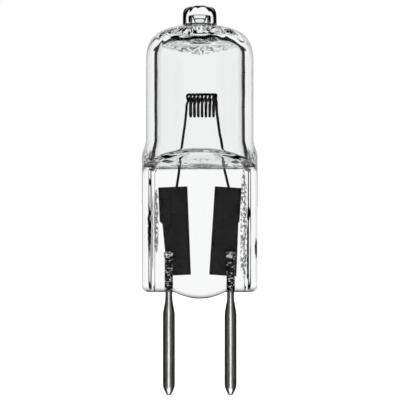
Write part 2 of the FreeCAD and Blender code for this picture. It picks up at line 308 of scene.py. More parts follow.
TIP_TOP, TIP_FLAT = 31.49, 0.45
glass = start_ring("quartz_glass", RING, TIP_FLAT, TIP_TOP)
draw_rows((TIP_TOP, TIP_FLAT, TIP_FLAT), TIP_ROWS + DOME_ROWS + TUBE_ROWS + SHOULDER_ROWS + SEAL_ROWS)
bpy.ops.object.mode_set(mode="OBJECT")
print("outer skin rows", len(glass.data.vertices) // RING)

# %% [markdown]
# Now the press closes. A jaw is a plane that glass can't pass, so everything beyond it is scaled to
# nothing along the jaw's own direction, and lies flat on it. Vertices are picked by their place, as
# a box selection would do in a window.

# %% Helpers for picking and pressing
ROW_REACH = 0.02


def pick(piece, test):
    bpy.ops.object.mode_set(mode="OBJECT")
    mesh = piece.data
    mesh.polygons.foreach_set("select", [False] * len(mesh.polygons))
    mesh.edges.foreach_set("select", [False] * len(mesh.edges))
    mesh.vertices.foreach_set("select", [test(*(vertex.co / MM)) for vertex in mesh.vertices])
    bpy.ops.object.mode_set(mode="EDIT")


def press_front_and_back(piece, test, half_depth):
    for side in (-1, 1):
        pick(piece, lambda x, y, z: y * side > half_depth and test(x, y, z))
        bpy.ops.transform.resize(value=(1, 0, 1), center_override=(0, side * half_depth * MM, 0))


def near(height):
    return lambda x, y, z: abs(z - height) < ROW_REACH


# %% [markdown]
# Through the shoulder the jaws lean together row by row. The last rows go on past the rails to the
# thinner web, which leaves the sharp corner whose thin arcs show in the glass.

# %% Press the shoulder
RAIL_HALF, WEB_HALF, WEB_REACH = 1.8, 1.2, 4.6
bpy.context.view_layer.objects.active = glass
bpy.ops.object.mode_set(mode="EDIT")
bpy.ops.mesh.select_mode(type="VERT")
for height, wide, deep in SHOULDER_ROWS[1:]:
    jaw = BULB_HALF - (BULB_HALF - RAIL_HALF) * max(JAW_TOP - height, 0) / (JAW_TOP - SEAL_TOP)
    in_row = near(height)
    press_front_and_back(glass, in_row, max(jaw, RAIL_HALF))
    if jaw < RAIL_HALF:
        press_front_and_back(
            glass, lambda x, y, z: in_row(x, y, z) and abs(x) < WEB_REACH, max(jaw, WEB_HALF),
        )
print("shoulder pressed from", JAW_TOP, "to", SEAL_TOP, "mm")

# %% [markdown]
# Below the shoulder the jaws are upright. They press the rails first, flatten the narrow sides, and
# then press the web between the rails in four steps, which gives the rails their rounded flanks.
# The foot's rows are scaled in, one after the other, to round its lower edge.

# %% Press the rails, the web and the foot
PRESSED_TOP, FLANK_TOP = SEAL_TOP - 0.1, 14.7
SIDE_FOOT, SIDE_START, SIDE_LINE, SIDE_SHARE = 2.7, 5.5, 5.97, 0.6
press_front_and_back(glass, lambda x, y, z: z < PRESSED_TOP, RAIL_HALF)
for side in (-1, 1):
    pick(glass, lambda x, y, z: SIDE_FOOT < z < PRESSED_TOP and x * side > SIDE_START)
    bpy.ops.transform.resize(value=(SIDE_SHARE, 1, 1), center_override=(side * SIDE_LINE * MM, 0, 0))
FLANK = [(5.1, 1.62), (4.9, 1.36), (4.66, 1.23), (4.4, WEB_HALF)]
for reach, half_depth in FLANK:
    press_front_and_back(glass, lambda x, y, z: z < FLANK_TOP and abs(x) < reach, half_depth)
FOOT_ROUND = [(3.1, 0.985), (2.8, 0.94), (2.58, 0.85), (2.4, 0.73), (2.26, 0.58), (2.16, 0.4), (2.11, 0.22)]
for height, share in FOOT_ROUND:
    pick(glass, near(height))
    bpy.ops.transform.resize(value=(1, share, 1), center_override=(0, 0, 0))
print("pressed to", WEB_HALF * 2, "mm at the web and", RAIL_HALF * 2, "mm at the rails")

# %% [markdown]
# The foot is closed by drawing the last row in towards its middle line and merging it there. The
# glass between the pins sagged while it was soft. A bow could be modelled row by row, but pulling
# the middle down with proportional editing lets the glass beside it follow, as it did when hot.

# %% Close the foot and let it sag
WELD, LAST_ROW_TOP = 0.002, 2.15
pick(glass, lambda x, y, z: z < LAST_ROW_TOP)
bpy.ops.mesh.select_mode(type="FACE")
bpy.ops.mesh.select_mode(type="VERT")
for share, fall in ((0.6, 0.01), (0.0, 0.0)):
    bpy.ops.mesh.extrude_region_move(TRANSFORM_OT_translate={"value": (0, 0, -fall * MM)})
    bpy.ops.transform.resize(value=(0.998, share, 1), center_override=(0, 0, 0))
bpy.ops.mesh.select_all(action="SELECT")
bpy.ops.mesh.remove_doubles(threshold=WELD * MM)
SAG, SAG_REACH, SAG_MIDDLE, SAG_TOP = 0.68, 2.6, 0.1, 2.2
pick(glass, lambda x, y, z: abs(x) < SAG_MIDDLE and z < SAG_TOP)
bpy.ops.transform.translate(value=(0, 0, -SAG * MM), use_proportional_edit=True, proportional_size=SAG_REACH * MM,
                            proportional_edit_falloff="INVERSE_SQUARE")
bpy.ops.mesh.select_all(action="SELECT")
bpy.ops.mesh.normals_make_consistent(inside=False)
bpy.ops.object.mode_set(mode="OBJECT")
print("outer skin", len(glass.data.polygons), "faces")

# %% [markdown]
# The gas space is a second skin inside the first, drawn in the same way. It starts on the drop of
# glass that hangs in the tip, goes up round it and down the old bore, opens into the dome and runs
# down the tube. At the shoulder it is pinched to a narrow trough. Its normals point into the gas,
# because that is the outside of the glass.

# %% Rows of the gas space
BORE_HALF, TROUGH_FLARE, PINCH = 4.38, 0.3, 3.95
DROP_ROWS = [
    (29.41, 0.22, 0.22), (29.5, 0.37, 0.37), (29.66, 0.5, 0.5), (29.9, 0.6, 0.6), (30.15, 0.66, 0.66),
    (30.36, 0.72, 0.72), (30.47, 0.79, 0.79), (30.5, 0.86, 0.86), (30.45, 0.93, 0.93), (30.2, 0.97, 0.97),
    (29.6, 0.96, 0.96), (29.0, 0.95, 0.95),
    (28.7, 0.99, 0.99), (28.45, 1.1, 1.1), (28.24, 1.3, 1.3), (28.08, 1.6, 1.6),
]
CEILING_ROWS = [
    (27.99, 1.98, 1.98), (27.94, 2.5, 2.5), (27.88, 3.0, 3.0), (27.77, 3.42, 3.42), (27.61, 3.76, 3.76),
    (27.37, 4.05, 4.05), (27.08, 4.25, 4.25), (26.76, 4.35, 4.35), (26.4, 4.38, 4.38), (25.9, 4.38, 4.38),
]
INNER_TUBE_ROWS = [(height, BORE_HALF, BORE_HALF) for height in (24.2, 22.9, 21.6, 20.3, 19.2, 18.3)]
for height in (17.8, 17.5, 17.2, 16.9, 16.75):
    INNER_TUBE_ROWS.append((height, BORE_HALF + TROUGH_FLARE * ease((SHOULDER_TOP - height) / FLARE_DROP), BORE_HALF))
PINCH_TOP, TROUGH_FOOT = 16.6, 15.05
PINCH_ROWS = []
for step in range(15):
    height = PINCH_TOP + (TROUGH_FOOT - PINCH_TOP) * step / 14
    PINCH_ROWS.append((height, BORE_HALF + TROUGH_FLARE * ease((SHOULDER_TOP - height) / FLARE_DROP), BORE_HALF))
print("rows of the gas space", len(DROP_ROWS + CEILING_ROWS + INNER_TUBE_ROWS + PINCH_ROWS))

# %% [markdown]
# The rows are drawn as the outer skin's were. The same jaws pinch the lowest ones to a trough, which
# is closed along its middle line as the foot is.

# %% Draw and pinch the gas space
DROP_FOOT, DROP_FLAT = 29.38, 0.1
gas = start_ring("gas_space", RING, DROP_FLAT, DROP_FOOT)
draw_rows((DROP_FOOT, DROP_FLAT, DROP_FLAT), DROP_ROWS + CEILING_ROWS + INNER_TUBE_ROWS + PINCH_ROWS)
for height, wide, deep in PINCH_ROWS[1:]:
    share = (PINCH_TOP - height) / (PINCH_TOP - TROUGH_FOOT)
    press_front_and_back(gas, near(height), BORE_HALF - PINCH * share)
pick(gas, lambda x, y, z: z < TROUGH_FOOT + ROW_REACH)
for share, fall in ((0.6, 0.1), (0.0, 0.05)):
    bpy.ops.mesh.extrude_region_move(TRANSFORM_OT_translate={"value": (0, 0, -fall * MM)})
    bpy.ops.transform.resize(value=(0.99, share, 1), center_override=(0, 0, 0))
bpy.ops.mesh.select_all(action="SELECT")
bpy.ops.mesh.remove_doubles(threshold=WELD * MM)
bpy.ops.mesh.normals_make_consistent(inside=True)
bpy.ops.object.mode_set(mode="OBJECT")
print("gas space", len(gas.data.polygons), "faces, foot at", round(TROUGH_FOOT, 2), "mm")

# %% [markdown]
# A flame drew off the exhaust tube and left the dome and the tip uneven. A brush would do this in a
# window. Here each dent is one small push with proportional editing. Only the skin that is pushed
# may be selected, because edit mode opens every selected object. The foot's lower edge was cut
# hot, so its vertices are shaken a little.

# %% Dent the dome where the flame drew it
DENT_SPOT = 0.2
FOOT_SHAKE, SHAKE_TOP, SHAKE_START = 0.035, 2.45, 2.2
DENTS = [   # skin, place, push and reach in mm
    (glass, (-2.7, -4.2, 28.25), (0, 0.16, -0.16), 0.7), (glass, (-3.7, -3.4, 27.9), (0, 0.12, -0.12), 0.5),
    (glass, (-1.3, -4.8, 28.3), (0, -0.12, 0.1), 0.5), (glass, (1.4, -4.8, 28.3), (0, 0.16, -0.16), 0.6),
    (glass, (3.0, -4.0, 28.1), (0, 0.13, -0.13), 0.6), (glass, (4.0, -3.0, 27.7), (0, -0.1, 0.08), 0.5),
    (glass, (-1.25, -0.9, 31.1), (0.1, 0.08, -0.06), 0.5), (glass, (-0.55, -1.3, 31.2), (0, 0.08, -0.06), 0.4),
    (glass, (0.3, -1.4, 31.2), (0, 0.06, -0.03), 0.4), (glass, (1.2, -0.9, 31.1), (-0.1, 0.1, -0.07), 0.5),
    (glass, (1.5, 0.4, 30.9), (-0.1, 0, 0), 0.5), (glass, (-1.5, 0.5, 30.7), (0.08, 0, 0), 0.4),
    (gas, (-2.9, 2.6, 27.5), (0, -0.07, -0.07), 0.5), (gas, (-1.9, 3.4, 27.6), (0, 0.08, 0.08), 0.6),
    (gas, (-0.8, 3.8, 27.5), (0, -0.08, -0.08), 0.5), (gas, (0.6, 3.8, 27.6), (0, 0.09, 0.09), 0.6),
    (gas, (1.7, 3.5, 27.5), (0, -0.08, -0.08), 0.5), (gas, (2.7, 2.8, 27.6), (0, 0.07, 0.07), 0.5),
]
for skin, (x, y, z), push, reach in DENTS:
    bpy.ops.object.select_all(action="DESELECT")
    skin.select_set(True)
    bpy.context.view_layer.objects.active = skin
    pick(skin, lambda a, b, c: (a - x) ** 2 + (b - y) ** 2 + (c - z) ** 2 < DENT_SPOT)
    bpy.ops.transform.translate(value=[amount * MM for amount in push], use_proportional_edit=True,
                                proportional_size=reach * MM, proportional_edit_falloff="SMOOTH")
    bpy.ops.object.mode_set(mode="OBJECT")
bpy.ops.object.select_all(action="DESELECT")
bpy.context.view_layer.objects.active = glass
pick(glass, lambda x, y, z: z < SHAKE_TOP and abs(x) > SHAKE_START)
bpy.ops.transform.vertex_random(offset=FOOT_SHAKE * MM, uniform=0.0, normal=1.0, seed=9)
bpy.ops.object.mode_set(mode="OBJECT")
print("dents", len(DENTS))

# %% [markdown]
# Quartz doesn't wet the pins. It shrinks away from the necks as it cools and leaves a fine crackled
# gap round each, which shows as a broken light and dark column. Each gap is a closed skin round
# the neck, with its vertices shaken a little so that it breaks up the light.

# %% Leave the gaps round the necks
PIN_X = 3.175
GAP_RING, GAP_FOOT, GAP_FLAT, GAP_SHAKE = 32, 2.14, 0.3, 0.025
GAP_ROWS = [(2.16, 0.42, 0.42)]
GAP_ROWS += [(2.2 + 0.1 * step, 0.43, 0.43) for step in range(35)]
GAP_ROWS += [(5.7, 0.47, 0.47), (5.85, 0.52, 0.52), (6.02, 0.54, 0.54), (6.2, 0.49, 0.49), (6.32, 0.36, 0.36)]
gaps = []
for name, side in (("left_gap", -1), ("right_gap", 1)):
    gap = start_ring(name, GAP_RING, GAP_FLAT, GAP_FOOT)
    draw_rows((GAP_FOOT, GAP_FLAT, GAP_FLAT), GAP_ROWS)
    bpy.ops.mesh.select_all(action="SELECT")
    bpy.ops.transform.vertex_random(offset=GAP_SHAKE * MM, uniform=0.0, normal=0.6, seed=5 + side)
    bpy.ops.transform.translate(value=(side * PIN_X * MM, 0, 0))
    bpy.ops.mesh.normals_make_consistent(inside=True)
    bpy.ops.object.mode_set(mode="OBJECT")
    gaps.append(gap)
print("gaps", [gap.name for gap in gaps])

# %% [markdown]
# The skins become one piece of glass, and one level of subdivision rounds the rows into smooth
# curves. It is applied, so that the piece has its final mesh.

# %% Round off a piece
def subdivide(piece, levels):
    bpy.ops.object.select_all(action="DESELECT")
    piece.select_set(True)
    bpy.context.view_layer.objects.active = piece
    rounding = piece.modifiers.new("rounding", "SUBSURF")
    rounding.levels = rounding.render_levels = levels
    bpy.ops.object.modifier_apply(modifier=rounding.name)
    bpy.ops.object.shade_smooth()


# %% [markdown]
# Fused quartz is clear and colourless, with a fire-polished skin. The eye sees it by its edges, where
# it bends the light, and by the marks that press and flame left on it. The first marks are painted
# shade: black painted into the glass's colour as lines along the roots of the rails and under the
# shoulder, and as wedges on the dome, where the bent glass would show dark lines. Patches of fine
# black specks are painted at the shoulder's sides and beside the foils. They are finer than the rows
# of the mesh, so each is a spindle, a diamond or a strip, drawn by its place on the front of the glass.

# %% Painted shade lines and specks
PAINTED_SHADE_MARKS = [
    # across mm, height mm, half width mm, half length mm, bluntness, and where its speckle starts (0 for none)
    (-5.12, 8.65, 0.2, 3.7, 2, 0), (-5.05, 13.4, 0.12, 0.5, 2, 0), (-4.78, 8.3, 0.05, 4.0, 8, 0),
    (4.97, 10.2, 0.24, 1.0, 2, 0), (4.87, 6.5, 0.08, 2.9, 8, 0), (4.87, 3.9, 0.16, 0.45, 2, 0),
    (5.7, 6.7, 0.16, 1.3, 2, 0), (-4.43, 9.4, 0.26, 3.4, 8, 0.34), (4.48, 9.0, 0.42, 5.6, 8, 0.42),
    (-5.95, 15.6, 2.0, 1.7, 1, 0.37), (5.95, 15.7, 2.0, 1.8, 1, 0.37), (-4.9, 14.95, 0.8, 0.3, 1, 0.34),
    (4.8, 14.95, 1.0, 0.3, 1, 0.34), (-3.7, 14.93, 0.9, 0.16, 1, 0.4), (3.6, 14.95, 0.9, 0.16, 1, 0.4),
    (-3.23, 15.87, 0.85, 0.2, 2, 0), (3.64, 15.82, 0.7, 0.22, 2, 0), (0.38, 15.0, 1.6, 0.24, 2, 0.3),
    (0.1, 15.62, 1.2, 0.12, 2, 0.44),
    (-2.4, 27.72, 0.75, 0.16, 2, 0), (-1.05, 27.95, 0.16, 0.3, 2, 0), (1.15, 28.0, 0.45, 0.14, 2, 0),
]


def painted_shade_lines_and_specks(tree, spot, across, depth, height):
    # the lines stray by up to 0.08 mm, and the specks are about 0.2 mm across, longer upwards
    wander = add_node(tree, "ShaderNodeTexNoise", {"W": height, "Scale": 1.4, "Detail": 3.0}, noise_dimensions="1D")
    strayed = add_node(tree, "ShaderNodeMath", {0: wander.outputs[0], 1: 0.16, 2: across}, operation="MULTIPLY_ADD")
    strayed = add_node(tree, "ShaderNodeMath", {0: strayed.outputs[0], 1: 0.08}, operation="SUBTRACT").outputs[0]
    drawn = add_node(tree, "ShaderNodeVectorMath", {0: spot, 1: (1, 1, 0.6)}, operation="MULTIPLY")
    dots = add_node(tree, "ShaderNodeTexNoise", {"Vector": drawn.outputs[0], "Scale": 5.5, "Detail": 2.0})
    painted_shade = 0.0
    # each mark is painted shade, black in the glass's colour, broken into specks where it is speckled
    for x, z, half_width, half_length, blunt, speckled in PAINTED_SHADE_MARKS:
        aside = add_node(tree, "ShaderNodeMath", {0: strayed, 1: x}, operation="SUBTRACT")
        aside = add_node(tree, "ShaderNodeMath", {0: aside.outputs[0], 1: half_width}, operation="DIVIDE")
        aside = add_node(tree, "ShaderNodeMath", {0: aside.outputs[0]}, operation="ABSOLUTE")
        along = add_node(tree, "ShaderNodeMath", {0: height, 1: z}, operation="SUBTRACT")
        along = add_node(tree, "ShaderNodeMath", {0: along.outputs[0], 1: half_length}, operation="DIVIDE")
        along = add_node(tree, "ShaderNodeMath", {0: along.outputs[0]}, operation="ABSOLUTE")
        along = add_node(tree, "ShaderNodeMath", {0: along.outputs[0], 1: blunt}, operation="POWER")
        room = add_node(tree, "ShaderNodeMath", {0: 1.0, 1: along.outputs[0]}, operation="SUBTRACT")
        room = add_node(tree, "ShaderNodeMath", {0: room.outputs[0], 1: aside.outputs[0]}, operation="SUBTRACT")
        shade_mark = add_node(tree, "ShaderNodeMapRange", {0: room.outputs[0], 1: 0.0, 2: 0.4, 3: 0.0, 4: 1.0}).outputs[0]
        if speckled:
            black_specks = add_node(tree, "ShaderNodeMapRange", {
                0: dots.outputs[0], 1: speckled, 2: speckled + 0.12, 4: 0.95,
            })
            shade_mark = add_node(tree, "ShaderNodeMath", {0: shade_mark, 1: black_specks.outputs[0]}, operation="MULTIPLY").outputs[0]
        painted_shade = add_node(tree, "ShaderNodeMath", {0: painted_shade, 1: shade_mark}, operation="MAXIMUM").outputs[0]
    # the painted shade lies on the front half of the glass only
    front = add_node(tree, "ShaderNodeMath", {0: depth, 1: -0.3}, operation="LESS_THAN")
    return add_node(tree, "ShaderNodeMath", {0: painted_shade, 1: front.outputs[0]}, operation="MULTIPLY").outputs[0]


print("folds and pits", len(PAINTED_SHADE_MARKS))

# %% [markdown]
# The flame that drew the dome left the ceiling of the gas space rippled, like streaky window glass.
# The ripples would bend the light into dark streaks, so these are painted shade, black in the glass's
# colour. The streaks are about 0.7 mm wide, and end where the wall of the tube and the mouth of the tip begin.

# %% Painted shade streaks on the ceiling
def painted_ceiling_shade(tree, spot, across, height, inner):
    ceiling_shade = add_node(tree, "ShaderNodeTexNoise", {
        "Vector": spot, "Scale": 1.5, "Detail": 4.0, "Distortion": 1.5,
    })
    # painted shade: the streaks turn the glass's colour black
    ceiling_shade = add_node(tree, "ShaderNodeMapRange", {0: ceiling_shade.outputs[0], 1: 0.4, 2: 0.6, 3: 0.0, 4: 0.95}).outputs[0]
    sideways = add_node(tree, "ShaderNodeMath", {0: across}, operation="ABSOLUTE").outputs[0]
    bowed = add_node(tree, "ShaderNodeMath", {0: sideways, 1: -0.1, 2: height}, operation="MULTIPLY_ADD").outputs[0]
    ceiling = add_node(tree, "ShaderNodeMapRange", {0: bowed, 1: 27.0, 2: 27.1, 3: 0.0, 4: 1.0}).outputs[0]
    tipward = add_node(tree, "ShaderNodeMapRange", {0: height, 1: 27.98, 2: 28.08, 3: 1.0, 4: 0.0}).outputs[0]
    for share in (inner, ceiling, tipward):
        ceiling_shade = add_node(tree, "ShaderNodeMath", {0: ceiling_shade, 1: share}, operation="MULTIPLY").outputs[0]
    return ceiling_shade


# %% [markdown]
# Seen edge on, the glass is given painted shade: its colour darkens as the skin turns away, more
# on the thick tip than on the tube, and not on the inner wall, whose black line the studio draws.
# The underside of the foot is painted dark as well, as painted shade.

# %% Painted shade at the edges and under the foot
def painted_edge_shade(tree, height, inner):
    # painted shade, stronger where the skin is seen more edge on
    rim = add_node(tree, "ShaderNodeLayerWeight", {"Blend": 0.5})
    gain = add_node(tree, "ShaderNodeMapRange", {0: height, 1: 29.2, 2: 29.6, 3: 1.0, 4: 2.5}).outputs[0]
    lift = add_node(tree, "ShaderNodeMapRange", {0: height, 1: 29.2, 2: 29.6, 3: 0.0, 4: -0.26}).outputs[0]
    edge = add_node(tree, "ShaderNodeMath", {0: rim.outputs["Facing"], 1: gain, 2: lift},
                    operation="MULTIPLY_ADD").outputs[0]
    edge = add_node(tree, "ShaderNodeMapRange", {0: edge, 1: 0.58, 2: 0.86, 3: 0.0, 4: 1.0},
                    interpolation_type="SMOOTHSTEP").outputs[0]
    wall = add_node(tree, "ShaderNodeMath", {0: height, 1: 22.1, 2: 6.1}, operation="COMPARE").outputs[0]
    inside = add_node(tree, "ShaderNodeMath", {0: inner, 1: wall}, operation="MULTIPLY").outputs[0]
    edge = add_node(tree, "ShaderNodeMix", {0: inside, 2: edge, 3: 0.0}).outputs[0]
    # painted shade on the faces of the foot that look down
    lean = add_node(tree, "ShaderNodeNewGeometry").outputs["Normal"]
    lean = add_node(tree, "ShaderNodeSeparateXYZ", {0: lean}).outputs[2]
    underside_shade = add_node(tree, "ShaderNodeMapRange", {0: lean, 1: -0.45, 2: -0.85, 3: 0.0, 4: 1.0}).outputs[0]
    foot = add_node(tree, "ShaderNodeMath", {0: height, 1: 3.2}, operation="LESS_THAN").outputs[0]
    underside_shade = add_node(tree, "ShaderNodeMath", {0: underside_shade, 1: foot}, operation="MULTIPLY").outputs[0]
    return add_node(tree, "ShaderNodeMath", {0: edge, 1: underside_shade}, operation="MAXIMUM").outputs[0]


# %% [markdown]
# The polished skin has faint ripples 3 mm long. Where the jaws pinched it, at the shoulder and the
# foot, it is crinkled too, with waves of about 1 mm.

# %% Rippled and crinkled skin
def rippled_skin(tree, spot, height):
    ripple = add_node(tree, "ShaderNodeTexNoise", {"Vector": spot, "Scale": 0.35, "Detail": 1.0})
    skin = add_node(tree, "ShaderNodeBump", {"Height": ripple.outputs[0], "Strength": 0.02, "Distance": 0.001})
    pinched = add_node(tree, "ShaderNodeMath", {0: height, 1: 15.2}, operation="SUBTRACT").outputs[0]
    pinched = add_node(tree, "ShaderNodeMath", {0: pinched}, operation="ABSOLUTE").outputs[0]
    pinched = add_node(tree, "ShaderNodeMapRange", {0: pinched, 1: 0.4, 2: 1.0, 3: 1.0, 4: 0.0}).outputs[0]
    cut = add_node(tree, "ShaderNodeMapRange", {0: height, 1: 2.2, 2: 3.0, 3: 1.0, 4: 0.0}).outputs[0]
    pinched = add_node(tree, "ShaderNodeMath", {0: pinched, 1: cut}, operation="MAXIMUM").outputs[0]
    crinkle = add_node(tree, "ShaderNodeTexNoise", {"Vector": spot, "Scale": 1.1, "Detail": 1.0})
    crinkle = add_node(tree, "ShaderNodeMath", {0: crinkle.outputs[0], 1: pinched}, operation="MULTIPLY").outputs[0]
    skin = add_node(tree, "ShaderNodeBump", {
        "Height": crinkle, "Strength": 0.8, "Distance": 0.00006, "Normal": skin.outputs[0],
    })
    return skin.outputs[0]


# %% [markdown]
# The finish puts these together. Places are in millimetres, so that every size above is a real one.
# Quartz bends light less than window glass does, and has no tint of its own.

# %% Fused quartz, fire polished
def fused_quartz():
    made, tree = blank_finish("fused_quartz_with_painted_shade")
    place = add_node(tree, "ShaderNodeTexCoord").outputs["Object"]
    spot = add_node(tree, "ShaderNodeVectorMath", {0: place, "Scale": 1000.0}, operation="SCALE").outputs[0]
    across, depth, height = add_node(tree, "ShaderNodeSeparateXYZ", {0: spot}).outputs
    axis = add_node(tree, "ShaderNodeVectorMath", {0: spot, 1: (1, 1, 0)}, operation="MULTIPLY")
    radius = add_node(tree, "ShaderNodeVectorMath", {0: axis.outputs[0]}, operation="LENGTH").outputs["Value"]
    inner = add_node(tree, "ShaderNodeMath", {0: radius, 1: 4.7}, operation="LESS_THAN").outputs[0]
    painted_shade = painted_shade_lines_and_specks(tree, spot, across, depth, height)
    ceiling_shade = painted_ceiling_shade(tree, spot, across, height, inner)
    painted_shade = add_node(tree, "ShaderNodeMath", {0: painted_shade, 1: ceiling_shade}, operation="MAXIMUM").outputs[0]
    edge = painted_edge_shade(tree, height, inner)
    # painted shade: the tip's darkened edge is painted black as well
    tip_shade = add_node(tree, "ShaderNodeMapRange", {0: height, 1: 29.4, 2: 29.7, 3: 0.0, 4: 1.0}).outputs[0]
    tip_shade = add_node(tree, "ShaderNodeMath", {0: tip_shade, 1: edge}, operation="MULTIPLY").outputs[0]
    painted_shade = add_node(tree, "ShaderNodeMath", {0: painted_shade, 1: tip_shade}, operation="MAXIMUM").outputs[0]
    # painted shade: edges turn dark grey, and the painted marks black
    tone = add_node(tree, "ShaderNodeMix", {0: edge, 6: linear("#f7f8f8"), 7: linear("#2c2d2d")},
                    data_type="RGBA")
    tone = add_node(tree, "ShaderNodeMix", {0: painted_shade, 6: tone.outputs[2], 7: linear("#000000")}, data_type="RGBA")
    body = add_node(tree, "ShaderNodeBsdfPrincipled", {
        "Base Color": tone.outputs[2], "Roughness": 0.0, "IOR": 1.458, "Transmission Weight": 1.0,
        "Specular Tint": (0.15, 0.15, 0.15, 1), "Normal": rippled_skin(tree, spot, height),
    })
    add_node(tree, "ShaderNodeOutputMaterial", {"Surface": body.outputs[0]})
    return made


# %% [markdown]
# Where quartz has shrunk away from a neck, dark oxide and crackled glass lie side by side. The
# column is painted black with white specks about 0.3 mm across, a bright crown on top and a light
# ring at the mouth. The specks, the crown and the ring are painted highlights, for the glints of the
# crackled glass.

# %% Crackled quartz on oxide, with painted glints
def crackle_with_painted_glints():
    made, tree = blank_finish("crackled_quartz_on_oxide_with_painted_glints")
    place = add_node(tree, "ShaderNodeTexCoord")
    spot = add_node(tree, "ShaderNodeMapping", {"Vector": place.outputs["Object"], "Scale": (1000, 1000, 1500)})
    across, depth, height = add_node(tree, "ShaderNodeSeparateXYZ", {0: place.outputs["Object"]}).outputs
    across = add_node(tree, "ShaderNodeMath", {0: across}, operation="ABSOLUTE").outputs[0]
    crown_glint = add_node(tree, "ShaderNodeCombineXYZ", {0: across, 2: height})
    # painted highlight: a bright crown at the top of each neck
    crown_glint = add_node(tree, "ShaderNodeVectorMath", {0: crown_glint.outputs[0], 1: (0.0031, 0, 0.006)}, operation="DISTANCE")
    crown_glint = add_node(tree, "ShaderNodeMapRange", {0: crown_glint.outputs["Value"], 1: 0.00018, 2: 0.0005, 3: 0.17, 4: 0.0})
    oxide_and_glints = add_node(tree, "ShaderNodeTexNoise", {"Vector": spot.outputs[0], "Scale": 3.6, "Detail": 2.5,
                                                   "Distortion": 0.6})
    # painted highlight: a light ring at the mouth of the gap
    mouth_glint = add_node(tree, "ShaderNodeMath", {0: height, 1: 0.00228}, operation="SUBTRACT").outputs[0]
    mouth_glint = add_node(tree, "ShaderNodeMath", {0: mouth_glint}, operation="ABSOLUTE").outputs[0]
    mouth_glint = add_node(tree, "ShaderNodeMapRange", {0: mouth_glint, 1: 0.00008, 2: 0.0002, 3: 0.16, 4: 0.0}).outputs[0]
    oxide_and_glints = add_node(tree, "ShaderNodeMath", {0: oxide_and_glints.outputs[0], 1: mouth_glint}, operation="ADD")
    oxide_and_glints = add_node(tree, "ShaderNodeMath", {0: oxide_and_glints.outputs[0], 1: crown_glint.outputs[0]}, operation="ADD")
    # the dark oxide is black, and the painted glints white
    light = add_node(tree, "ShaderNodeMapRange", {0: oxide_and_glints.outputs[0], 1: 0.58, 2: 0.66, 3: 0.0, 4: 1.0})
    tone = add_node(tree, "ShaderNodeMix", {0: light.outputs[0], 6: linear("#030303"), 7: linear("#f0f0f0")},
                    data_type="RGBA")
    skin = add_node(tree, "ShaderNodeBump", {"Height": oxide_and_glints.outputs[0], "Strength": 0.6, "Distance": 0.0001})
    body = add_node(tree, "ShaderNodeBsdfPrincipled", {
        "Base Color": tone.outputs[2], "Roughness": 0.15, "Specular IOR Level": 0.2, "Normal": skin.outputs[0],
    })
    add_node(tree, "ShaderNodeOutputMaterial", {"Surface": body.outputs[0]})
    return made


# %% [markdown]
# Each skin gets its finish while it is still an object of its own. Then they are joined, so that the
# bulb is one piece of glass, and rounded together.

# %% Coat the skins, join them and smooth them
clear_quartz, crackle_and_glints = fused_quartz(), crackle_with_painted_glints()
bpy.ops.object.select_all(action="DESELECT")
for skin, finish in ((glass, clear_quartz), (gas, clear_quartz), (gaps[0], crackle_and_glints), (gaps[1], crackle_and_glints)):
    skin.data.materials.append(finish)
    skin.select_set(True)
bpy.context.view_layer.objects.active = glass
bpy.ops.object.join()
subdivide(glass, 1)
print("glass", len(glass.data.polygons), "faces", [slot.name for slot in glass.material_slots])

# %% [markdown]
# A finished piece is tied to the frame by two calls: the body that it rides on, and the imported
# solid whose place it takes, which is hidden. Nothing on the bulb moves, so every piece rides on
# the root.

# %% Tie a piece to the frame
def finish_piece(piece, replaced):
    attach(piece, "root")
    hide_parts(replaced)
    print(piece.name, "takes the place of", replaced)


finish_piece(glass, "quartz_envelope")

# %% [markdown]
# The filament is one tungsten wire: a coil lying across the bulb and two legs. The coil isn't an even
# screw. Each turn hangs almost straight down, and the wire steps over to the next turn only at the
# top. A little lower, the front of one turn and the back of the next sway apart, which closes the
# slit between them and leaves a small eye above. A Screw modifier would spread the step over the
# whole turn, so a ring of wire is extruded round the coil's axis in small turns, and moved along the
# axis as it goes.

# %% Wind the coil
WIRE_RADIUS, WIRE_SIDES = 0.135, 12
COIL_RADIUS, COIL_PITCH, COIL_TURNS = 1.12, 0.39, 7.5
COIL_START, COIL_HEIGHT = -1.31, 21.3
TURN_STEPS, SWAY, BOW = 36, 0.28, 0.04
STEP_FROM, STEP_SPAN, SWAY_AT, SWAY_SPAN = 64, 52, 30, 21
LAST_STRIDE, LEAD, LEAD_SPAN = 0.65, 0.07, 50


def coil_place(turns):
    whole, share = divmod(turns, 1)
    angle = share * 360
    before, after = abs(angle - SWAY_AT) / SWAY_SPAN, abs(angle - (180 - SWAY_AT)) / SWAY_SPAN
    over = ease((angle - STEP_FROM) / STEP_SPAN)
    over += SWAY * (ease(1 - before) - ease(1 - after))
    over -= BOW * sin(radians(2 * angle)) if angle > 180 else 0
    stride = COIL_PITCH if whole < 7 else LAST_STRIDE * COIL_PITCH
    lead = LEAD * (1 - ease(turns * 360 / LEAD_SPAN))
    return COIL_START - lead + COIL_PITCH * whole + stride * over


